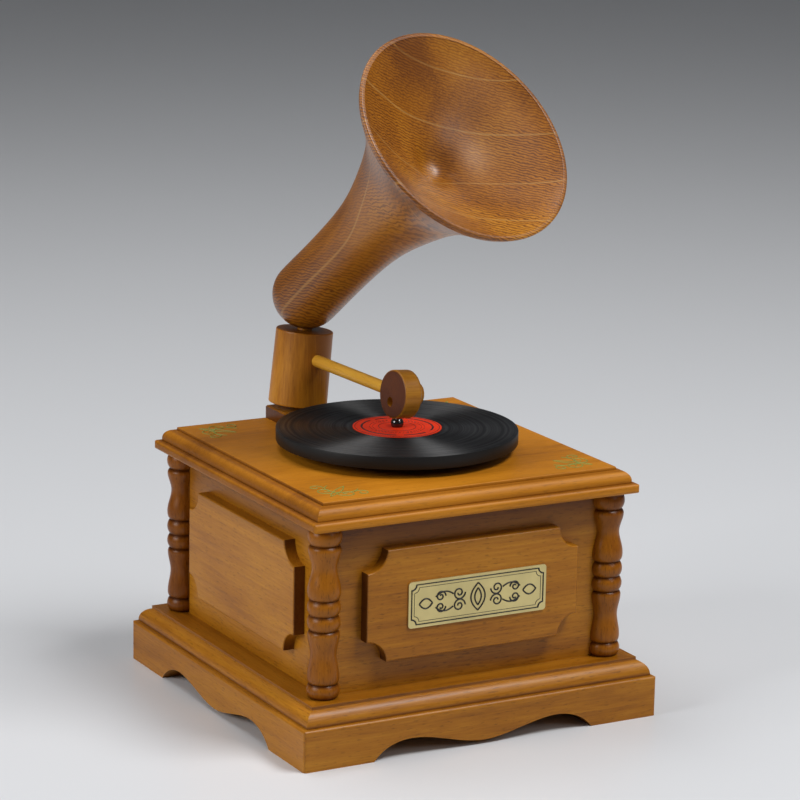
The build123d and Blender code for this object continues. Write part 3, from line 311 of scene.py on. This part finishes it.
def metal(name, colour, roughness, brush=(1, 1, 1)):
    """Metal with fine scratches, drawn out if brushed, and a slightly uneven tone."""
    shader = Shader(name)
    fine = shader.noise(shader.mapped(brush), 2600.0, 3.0, 0.6)
    uneven(shader, 90.0, 0.5, colour, METAL_DARKER)
    shader.roughness(fine, roughness, SCRATCH_REACH)
    shader.bump(fine, 0.03 * MM, 0.25)
    shader.set(Metallic=1.0)
    return shader.material


def painted(name, colour, roughness, coat=0.0, grain_depth=0.03 * MM, specular=0.5):
    """Paint, enamel, rubber or paper: one colour with a fine uneven surface."""
    shader = Shader(name)
    fine = shader.noise(shader.mapped(), 1800.0, 2.0, 0.5)
    uneven(shader, 130.0, 0.55, colour, PAINT_DARKER)
    shader.roughness(fine, roughness, PAINT_REACH)
    shader.bump(fine, grain_depth, 0.4)
    shader.set(Coat_Weight=coat, Coat_Roughness=0.08, Specular_IOR_Level=specular)
    return shader.material


def vinyl(centre):
    """Black lacquer whose grooves stretch each highlight into a fan across them, in bands around the centre."""
    shader = Shader("record_black")
    dust = shader.noise(shader.mapped(), 900.0, 4.0, 0.7)
    tone = shader.noise(shader.mapped(), 60.0, 3.0, 0.5)
    bands = shader.noise(shader.distance(centre), 700.0, 2.0, 0.6)
    shader.join(shader.ramp(dust, [(0.5, (0.006, 0.006, 0.0065)), (0.85, (0.02, 0.02, 0.021))]), "Base Color")
    shader.roughness(shader.math("ADD", shader.math("MULTIPLY", tone, 0.2), bands), 0.4, 0.5)
    around = shader.add("ShaderNodeTangent", direction_type="RADIAL", axis="Z")
    shader.join(around.outputs["Tangent"], "Tangent")
    shader.bump(dust, 0.02 * MM, 0.3)
    shader.set(Anisotropic=0.95, Anisotropic_Rotation=0.25, Specular_IOR_Level=0.5)
    return shader.material


def floor_paint(name, colour, roughness):
    """The floor's material: pale, with a barely uneven gloss."""
    shader = Shader(name)
    shader.set(Base_Color=(*colour, 1.0))
    shader.roughness(shader.noise(shader.mapped(), 3.0, 2.0, 0.5), roughness, 0.03)
    return shader.material


# ---------------------------------------------------------------- mesh helpers
def link(name, mesh, material, body):
    """A mesh piece that rides on a body and takes the given material."""
    piece = bpy.data.objects.new(name, mesh)
    bpy.context.scene.collection.objects.link(piece)
    mesh.materials.clear()
    mesh.materials.append(material)
    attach(piece, body)
    return piece


def smooth(piece, angle):
    """Shade smooth, but keep edges sharper than the angle."""
    piece.data.shade_smooth()
    piece.data.set_sharp_from_angle(angle=math.radians(angle))


def ring_mesh(name, outline, centre, steps):
    """A closed ring turned about an upright line: (radius, height) points, joined up at its ends."""
    vertices = []
    rings = []
    for radius, height in outline:
        rings.append(range(len(vertices), len(vertices) + steps))
        for step in range(steps):
            angle = 2 * math.pi * step / steps
            vertices.append((centre.x - radius * math.sin(angle), centre.y + radius * math.cos(angle), height))
    faces = []
    for lower, upper in zip(rings, rings[1:] + rings[:1]):
        for step in range(steps):
            after = (step + 1) % steps
            faces.append((lower[step], lower[after], upper[after], upper[step]))
    mesh = bpy.data.meshes.new(name)
    mesh.from_pydata(vertices, [], faces)
    mesh.update()
    return mesh


def strokes(name, paths, radius, material, body, flatten=1.0):
    """Thin lines laid along (points, closed) paths, as one mesh piece: round, or flattened to a level strip."""
    curve = bpy.data.curves.new(name, "CURVE")
    curve.dimensions = "3D"
    curve.bevel_depth = radius
    curve.bevel_resolution = 2
    curve.use_fill_caps = True
    for path, is_loop in paths:
        spline = curve.splines.new("POLY")
        spline.points.add(len(path) - 1)
        for point, place in zip(spline.points, path):
            point.co = (*place, 1.0)
        spline.use_cyclic_u = is_loop
    holder = bpy.data.objects.new(name + "_line", curve)
    mesh = bpy.data.meshes.new_from_object(holder)
    mesh.name = name
    bpy.data.objects.remove(holder)
    if flatten < 1:
        level = paths[0][0][0].z
        for vertex in mesh.vertices:
            vertex.co.z = level + (vertex.co.z - level) * flatten
    piece = link(name, mesh, material, body)
    smooth(piece, 60)
    return piece


def circle_path(centre, radius, height, steps=96, start=0.0, sweep=2 * math.pi):
    """Points of a level circle or arc."""
    is_arc = sweep < 2 * math.pi - 1e-6
    return [Vector((centre.x + radius * math.cos(start + sweep * step / steps),
                    centre.y + radius * math.sin(start + sweep * step / steps), height))
            for step in range(steps + 1 if is_arc else steps)]


SCROLL_SHRINK = 0.82


def scroll(place, middle, outer, turns, heading, hand, steps=40):
    """A spiral about its middle that starts on the outer radius and winds in: place turns (u, v) into a point."""
    path = []
    for step in range(steps + 1):
        share = step / steps
        radius = outer * (1 - SCROLL_SHRINK * share)
        angle = heading + hand * 2 * math.pi * turns * share
        path.append(place(middle[0] + radius * math.cos(angle), middle[1] + radius * math.sin(angle)))
    return path


def arch(place, start, end, rise, steps=16):
    """A smooth bow from start to end, standing off the chord by rise."""
    path = []
    length = math.hypot(end[0] - start[0], end[1] - start[1])
    normal = ((start[1] - end[1]) / length, (end[0] - start[0]) / length)
    for step in range(steps + 1):
        share = step / steps
        lift = 4 * rise * share * (1 - share)
        path.append(place(start[0] + (end[0] - start[0]) * share + normal[0] * lift,
                          start[1] + (end[1] - start[1]) * share + normal[1] * lift))
    return path


# ---------------------------------------------------------------- materials
# Tones are dark, middle and light.
HONEY_TONES = ((0.22, 0.070, 0.002), (0.35, 0.126, 0.004), (0.46, 0.190, 0.010))
COLUMN_TONES = ((0.115, 0.029, 0.001), (0.20, 0.058, 0.003), (0.30, 0.100, 0.006))
BOARD_TONES = ((0.29, 0.098, 0.004), (0.43, 0.155, 0.006), (0.53, 0.205, 0.012))
POST_TONES = ((0.30, 0.100, 0.004), (0.47, 0.180, 0.010), (0.62, 0.28, 0.026))
DOWEL_TONES = ((0.46, 0.20, 0.012), (0.62, 0.300, 0.026), (0.72, 0.39, 0.05))
SOUND_TONES = ((0.27, 0.090, 0.004), (0.43, 0.165, 0.010), (0.58, 0.26, 0.026))
HORN_TONES = ((0.19, 0.056, 0.002), (0.32, 0.108, 0.003), (0.43, 0.170, 0.009))
PLYWOOD_TONES = ((0.35, 0.20, 0.09), (0.48, 0.30, 0.15), (0.58, 0.40, 0.22))

# Painted shade lines, with stain in the column grooves: height, fade below and fade above, in millimetres.
RAIL_STAIN_AND_SHADE = [(12.7, 0.25, 0.9), (17.9, 0.9, 0.1)]
BOARD_STAIN_AND_SHADE = [(72.3, 0.15, 0.3), (75.95, 0.4, 0.3)]
# Painted shadow of the lid's overhang, fading 12 mm down the walls.
WALL_LID_SHADOW = [(69.0, 12.0, 0.3)]
COLUMN_GROOVES = (22.3, 38.4, 42.9, 47.6, 63.95)
# Painted shade at the column's foot and under the lid, with stain and painted shade in its grooves.
COLUMN_STAIN_AND_SHADE = [(18.2, 0.3, 0.9), *((groove, 0.8, 0.8) for groove in COLUMN_GROOVES), (69.0, 1.4, 0.5)]

# The dowel points almost straight forward, square to the leaning post.
DOWEL_LEVEL = Vector((0.0697, -0.9976, 0))
arm_heading = (DOWEL_LEVEL - post_axis * DOWEL_LEVEL.dot(post_axis)).normalized()
sound_axis = post_axis.cross(arm_heading)

HORN_TURN = math.radians(12.8)
HORN_RISE = math.radians(39.8)
horn_axis = Vector((math.sin(HORN_TURN) * math.cos(HORN_RISE), -math.cos(HORN_TURN) * math.cos(HORN_RISE),
                    math.sin(HORN_RISE)))

wood_x = wood("wood_along_x", HONEY_TONES, X_AXIS, (0, 0.07, 0.11), stain_and_shade_lines=WALL_LID_SHADOW)
wood_y = wood("wood_along_y", HONEY_TONES, Y_AXIS, (0.0, 0.09, 0.07), stain_and_shade_lines=WALL_LID_SHADOW)
rail_x = wood("rail_along_x", HONEY_TONES, X_AXIS, (0, 0.13, 0.02), stain_and_shade_lines=RAIL_STAIN_AND_SHADE)
rail_y = wood("rail_along_y", HONEY_TONES, Y_AXIS, (0.0, 0.05, 0.17), stain_and_shade_lines=RAIL_STAIN_AND_SHADE)
wood_z = wood("wood_columns", COLUMN_TONES, Z_AXIS, (0, 0.03, 0.05), roughness=0.3, specular=0.2,
              contrast=0.7, mottle=1.0, stain_and_shade_lines=COLUMN_STAIN_AND_SHADE)
wood_board = wood("wood_board", BOARD_TONES, X_AXIS, (0, 0.19, 0.04), roughness=0.46, specular=0.2,
                  end_dark=0.5, pores=0.2, contrast=0.8, stain_and_shade_lines=BOARD_STAIN_AND_SHADE)
wood_pale = wood("wood_post", POST_TONES, Z_AXIS, (0, 0.02, 0.03), end_dark=0.6, pores=0.15, contrast=0.9,
                 mottle=1.0)
wood_dowel = wood("wood_dowel", DOWEL_TONES, arm_heading, pores=0.15, contrast=0.5, mottle=0.8)
wood_sound = wood("wood_sound_box", SOUND_TONES, sound_axis, end_dark=1.0, pores=0.2, contrast=0.9, mottle=1.0)
wood_foot = wood("wood_foot", HONEY_TONES, X_AXIS, (0.1, 0.02, 0.06))
wood_plywood = wood("wood_plywood", PLYWOOD_TONES, Y_AXIS, roughness=0.6)
wood_horn = horn_wood("wood_horn", HORN_TONES, horn_axis, (0, 0.01, 0.02))
brass = metal("brass_turned", (0.75, 0.56, 0.25), 0.32)
plate_brass = metal("brass_plate", (0.78, 0.65, 0.30), 0.42, brush=(0.05, 1, 1))
steel = metal("steel_bright", (0.60, 0.60, 0.61), 0.3)
zinc = metal("zinc_cast", (0.50, 0.50, 0.49), 0.5)
aluminium = metal("aluminium_turned", (0.72, 0.72, 0.73), 0.35)
rubber = painted("rubber_tyre", (0.022, 0.022, 0.022), 0.75, grain_depth=0.06 * MM)
black_gloss = painted("black_enamel", (0.008, 0.008, 0.008), 0.12, coat=0.8)
record_rim = painted("record_rim", (0.006, 0.006, 0.006), 0.45, specular=0.3)
label_red = painted("label_red", (0.90, 0.048, 0.012), 0.5, specular=0.1)
label_ink = painted("label_ink", (0.05, 0.01, 0.01), 0.55)
plate_ink = painted("plate_ink", (0.012, 0.010, 0.008), 0.5)
gilt = painted("gilt_paint", (0.26, 0.27, 0.05), 0.5, specular=0.3)

NODE_MATERIALS = {
    "base_rail_front": rail_x, "base_rail_back": rail_x, "base_rail_left": rail_y, "base_rail_right": rail_y,
    "wall_front": wood_x, "wall_back": wood_x, "wall_left": wood_y, "wall_right": wood_y,
    "plaque_front": wood_x, "plaque_back": wood_x, "plaque_left": wood_y, "plaque_right": wood_y,
    "top_board": wood_board, "base_panel": wood_plywood, "post_foot": wood_foot,
    "arm_post": wood_pale, "tonearm": wood_dowel, "sound_box": wood_sound, "horn_peg": wood_pale,
    "horn": wood_horn, "crank_knob": wood_pale, "nameplate": plate_brass, "record_label": label_red,
    "spindle_cap": black_gloss, "bedplate": zinc, "friction_disc": aluminium, "drive_tyre": rubber,
}
SLOT_MATERIALS = {"steel": steel, "brass": brass, "pale_wood": wood_pale, "honey_wood": wood_z,
                  "dark_wood": wood_pale, "black_lacquer": black_gloss}
node_slots = {row["node"]: row["material_slot"] for row in frame["record"]["subparts"]}

for name, node in frame["nodes"].items():
    for slot_of_node in node.material_slots:
        slot_of_node.material = NODE_MATERIALS.get(name) or SLOT_MATERIALS[node_slots[name]]

# ---------------------------------------------------------------- record with cut grooves
disc_low, disc_high = (Vector(corner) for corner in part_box("record_disc"))
label_low, label_high = (Vector(corner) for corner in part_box("record_label"))
record_centre = (disc_low + disc_high) / 2
record_radius = (disc_high.x - disc_low.x) / 2
label_radius = (label_high.x - label_low.x) / 2
SPINDLE_HOLE = 1.52 * MM
RIM_ROUND = 0.3 * MM
RIM_CORNER = 0.08 * MM
RING_STEPS = 256
GROOVE_PITCH = 0.42 * MM
GROOVE_DEPTH = 0.035 * MM
GROOVE_OUTER = record_radius - 1.6 * MM
GROOVE_INNER = label_radius + 1.4 * MM
GAP_SHARES = (0.17, 0.36, 0.55, 0.78)
GAP_HALF = 0.35 * MM


def record_outline(low, top):
    """The record's outline from the hole's lower edge, round the rim, to its upper edge."""
    outline = [(SPINDLE_HOLE, low), (record_radius - RIM_ROUND, low), (record_radius - RIM_CORNER, low + RIM_CORNER),
               (record_radius, low + RIM_ROUND), (record_radius, top - RIM_ROUND),
               (record_radius - RIM_CORNER, top - RIM_CORNER), (record_radius - RIM_ROUND, top),
               (GROOVE_OUTER + RIM_ROUND, top)]
    gaps = [GROOVE_OUTER - share * (GROOVE_OUTER - GROOVE_INNER) for share in GAP_SHARES]
    for index in range(int((GROOVE_OUTER - GROOVE_INNER) / GROOVE_PITCH)):
        radius = GROOVE_OUTER - index * GROOVE_PITCH
        if all(abs(radius - gap) > GAP_HALF for gap in gaps):
            outline.append((radius, top))
            outline.append((radius - GROOVE_PITCH / 2, top - GROOVE_DEPTH))
    return outline + [(GROOVE_INNER - GROOVE_PITCH, top), (SPINDLE_HOLE, top)]


record_mesh = ring_mesh("record_grooved", record_outline(disc_low.z, disc_high.z), record_centre, RING_STEPS)
record_piece = link("record_grooved", record_mesh, vinyl(record_centre), "record")
smooth(record_piece, 50)
record_mesh.materials.append(record_rim)
for face in record_mesh.polygons:
    if abs(face.normal.z) < 0.5:
        face.material_index = 1
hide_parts("record_disc")

# ---------------------------------------------------------------- label print: plain rings and dashes
# Radii are shares of the label's radius. Broad arcs are (start, sweep) in degrees.
THIN_RINGS = (0.95, 0.42)
DASH_ROWS = ((0.62, 0.0), (0.55, 0.05))
DASHES = 40
DASH_FILL, SHORT_DASH_FILL = 0.62, 0.3
BROAD_RING = 0.8
BROAD_ARCS = ((-50, 150), (112, 128), (252, 40))
label_top = label_high.z

label_paths = [(circle_path(record_centre, label_radius * share, label_top), True) for share in THIN_RINGS]
for dash in range(DASHES):
    start = 2 * math.pi * dash / DASHES
    reach = 2 * math.pi / DASHES * (DASH_FILL if dash % 4 else SHORT_DASH_FILL)
    for share, shift in DASH_ROWS:
        arc = circle_path(record_centre, label_radius * share, label_top, 6, start + shift, reach)
        label_paths.append((arc, False))
strokes("record_label_print", label_paths, 0.07 * MM, label_ink, "record")
broad_paths = [(circle_path(record_centre, label_radius * BROAD_RING, label_top, 48, math.radians(start),
                            math.radians(sweep)), False) for start, sweep in BROAD_ARCS]
strokes("record_label_ring", broad_paths, 0.3 * MM, label_ink, "record", flatten=0.35)

# ---------------------------------------------------------------- nameplate ornament, with no lettering
plate_low, plate_high = (Vector(corner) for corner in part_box("nameplate"))
plate_centre = (plate_low + plate_high) / 2
plate_centre.y = plate_low.y
BORDER_INSET, INNER_BORDER_INSET = 1.0, 1.9
BORDER_NOTCH = 1.6
NOTCH_STEPS = 8


def on_plate(u, v):
    """A point on the nameplate's face from its centre, in millimetres."""
    return plate_centre + Vector((u * MM, 0, v * MM))


def plate_border(inset):
    """A rectangle with its corners cut in as quarter circles."""
    width = (plate_high.x - plate_low.x) / 2 / MM - inset
    height = (plate_high.z - plate_low.z) / 2 / MM - inset
    path = []
    for u_side, v_side, start in ((1, 1, 270), (-1, 1, 0), (-1, -1, 90), (1, -1, 180)):
        for step in range(NOTCH_STEPS + 1):
            angle = math.radians(start - 90 * step / NOTCH_STEPS)
            path.append(on_plate(u_side * width + BORDER_NOTCH * math.cos(angle),
                                 v_side * height + BORDER_NOTCH * math.sin(angle)))
    return path


plate_paths = [(plate_border(BORDER_INSET), True)]
for side in (-1, 1):
    heading = 0.0 if side < 0 else math.pi
    for lift in (-1, 1):
        plate_paths += [
            (scroll(on_plate, (side * 6.4, lift * 1.9), 2.1, 1.5, heading, side * lift), False),
            (scroll(on_plate, (side * 12.6, lift * 1.6), 1.7, 1.4, heading, -side * lift), False),
            (arch(on_plate, (side * 8.4, lift * 1.9), (side * 14.3, lift * 1.6), side * lift * 1.2), False),
            (arch(on_plate, (side * 15.4, 0), (side * 19.8, 0), side * lift * 1.5), False),
        ]
    plate_paths.append((arch(on_plate, (0, 4.2), (0, -4.2), side * 2.4), False))
    plate_paths.append((arch(on_plate, (0, 2.6), (0, -2.6), side * 1.1), False))
strokes("nameplate_ornament", plate_paths, 0.25 * MM, plate_ink, "case")
strokes("nameplate_inner_line", [(plate_border(INNER_BORDER_INSET), True)], 0.11 * MM, plate_ink, "case")

# ---------------------------------------------------------------- gilt scrolls near the board's corners
CORNER_INSET = 42.5 * MM
board_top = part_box("top_board")[1][2]


def corner_scrolls(x_side, y_side):
    """A small gilt scroll set square to the diagonal of one corner of the board."""
    outward = Vector((x_side, y_side, 0)).normalized()
    across = Vector((-outward.y, outward.x, 0))
    corner = Vector((x_side * CORNER_INSET, y_side * CORNER_INSET, board_top))

    def place(u, v):
        """u runs across the corner and v from the corner to the board's middle, in millimetres."""
        return corner + across * (u * MM) - outward * (v * MM)

    paths = []
    for hand in (-1, 1):
        heading = math.pi if hand > 0 else 0.0
        paths += [
            (scroll(place, (hand * 3.3, 2.4), 3.1, 1.3, heading, hand), False),
            (scroll(place, (hand * 7.2, 5.0), 2.4, 1.1, heading, -hand), False),
            (arch(place, (hand * 0.3, 2.4), (hand * 4.8, 8.2), -hand * 1.6), False),
            (arch(place, (0, -2.6), (0, 9.6), hand * 1.0), False),
        ]
    return paths


for depth, y_side in (("front", -1), ("back", 1)):
    for hand, x_side in (("left", -1), ("right", 1)):
        strokes(f"gilt_scroll_{depth}_{hand}", corner_scrolls(x_side, y_side), 0.17 * MM, gilt, "case")

# ---------------------------------------------------------------- floor, light and camera
FLOOR_HALF = 4.0
FLOOR_FRONT = -3.0
BEND_START = 2.2
BEND_RADIUS = 0.8
BEND_STEPS = 12
BACKDROP_HEIGHT = 3.0
FLOOR_TURN = math.radians(-29)
FLOOR_COLOUR = (0.64, 0.65, 0.67)


def floor():
    """A wide floor that curves up into a plain backdrop far behind the object."""
    profile = [(FLOOR_FRONT, 0.0), (BEND_START, 0.0)]
    for step in range(1, BEND_STEPS + 1):
        angle = math.radians(90 * step / BEND_STEPS)
        profile.append((BEND_START + BEND_RADIUS * math.sin(angle), BEND_RADIUS - BEND_RADIUS * math.cos(angle)))
    profile.append((BEND_START + BEND_RADIUS, BACKDROP_HEIGHT))
    vertices = [(x, y, z) for y, z in profile for x in (-FLOOR_HALF, FLOOR_HALF)]
    faces = [(2 * row, 2 * row + 1, 2 * row + 3, 2 * row + 2) for row in range(len(profile) - 1)]
    mesh = bpy.data.meshes.new("floor")
    mesh.from_pydata(vertices, [], faces)
    piece = bpy.data.objects.new("floor", mesh)
    bpy.context.scene.collection.objects.link(piece)
    mesh.materials.append(floor_paint("floor_pale", FLOOR_COLOUR, 0.32))
    mesh.shade_smooth()
    piece.rotation_euler.z = FLOOR_TURN


# Name, place, size and watts. Each light aims at the middle of the object.
LIGHTS = [
    ("key", (0.40, -0.48, 1.09), (0.5, 0.4), 12.0),
    ("left_window", (-1.15, 0.0, 0.6), (0.6, 0.5), 8.2),
    ("overhead", (-0.2, 0.4, 1.1), (0.7, 0.5), 4.6),
    ("front_fill", (0.6, -1.3, 0.9), (0.6, 0.4), 2.6),
]
LIGHT_TARGET = Vector((0, 0, 0.09))
SKY_COLOUR = (0.88, 0.90, 0.93, 1.0)
SKY_STRENGTH = 0.09


def area_light(name, place, size, power):
    """A soft rectangular light."""
    data = bpy.data.lights.new(name, "AREA")
    data.shape = "RECTANGLE"
    data.size, data.size_y = size
    data.energy = power
    light = bpy.data.objects.new(name, data)
    light.location = place
    light.rotation_euler = (LIGHT_TARGET - Vector(place)).to_track_quat("-Z", "Y").to_euler()
    bpy.context.scene.collection.objects.link(light)


CAMERA_AZIMUTH = math.radians(-28.969)
CAMERA_ELEVATION = math.radians(13.404)
CAMERA_ROLL = math.radians(1.115)
CAMERA_ASIDE = 3.758 * MM
CAMERA_RAISED = 88.938 * MM
CAMERA_DISTANCE = 1.022707
CAMERA_LENS = 147.84
CAMERA_SENSOR = 36.0
CAMERA_CLIP = 0.01


def camera():
    """A long lens that looks from the front left, a little above the object."""
    back = Vector((math.sin(CAMERA_AZIMUTH) * math.cos(CAMERA_ELEVATION),
                   -math.cos(CAMERA_AZIMUTH) * math.cos(CAMERA_ELEVATION), math.sin(CAMERA_ELEVATION)))
    level_right = Z_AXIS.cross(back).normalized()
    level_up = back.cross(level_right)
    right = level_right * math.cos(CAMERA_ROLL) + level_up * math.sin(CAMERA_ROLL)
    up = level_up * math.cos(CAMERA_ROLL) - level_right * math.sin(CAMERA_ROLL)
    data = bpy.data.cameras.new("camera")
    data.lens = CAMERA_LENS
    data.sensor_width = CAMERA_SENSOR
    data.clip_start = CAMERA_CLIP
    piece = bpy.data.objects.new("camera", data)
    turn = Matrix((right, up, back)).transposed()
    place = right * CAMERA_ASIDE + up * CAMERA_RAISED + back * CAMERA_DISTANCE
    piece.matrix_world = Matrix.Translation(place) @ turn.to_4x4()
    bpy.context.scene.collection.objects.link(piece)
    bpy.context.scene.camera = piece


floor()
for light in LIGHTS:
    area_light(*light)
camera()

world = bpy.data.worlds.new("studio")
world.use_nodes = True
sky = world.node_tree.nodes["Background"]
sky.inputs["Color"].default_value = SKY_COLOUR
sky.inputs["Strength"].default_value = SKY_STRENGTH
bpy.context.scene.world = world
bpy.context.scene.view_settings.view_transform = "Standard"
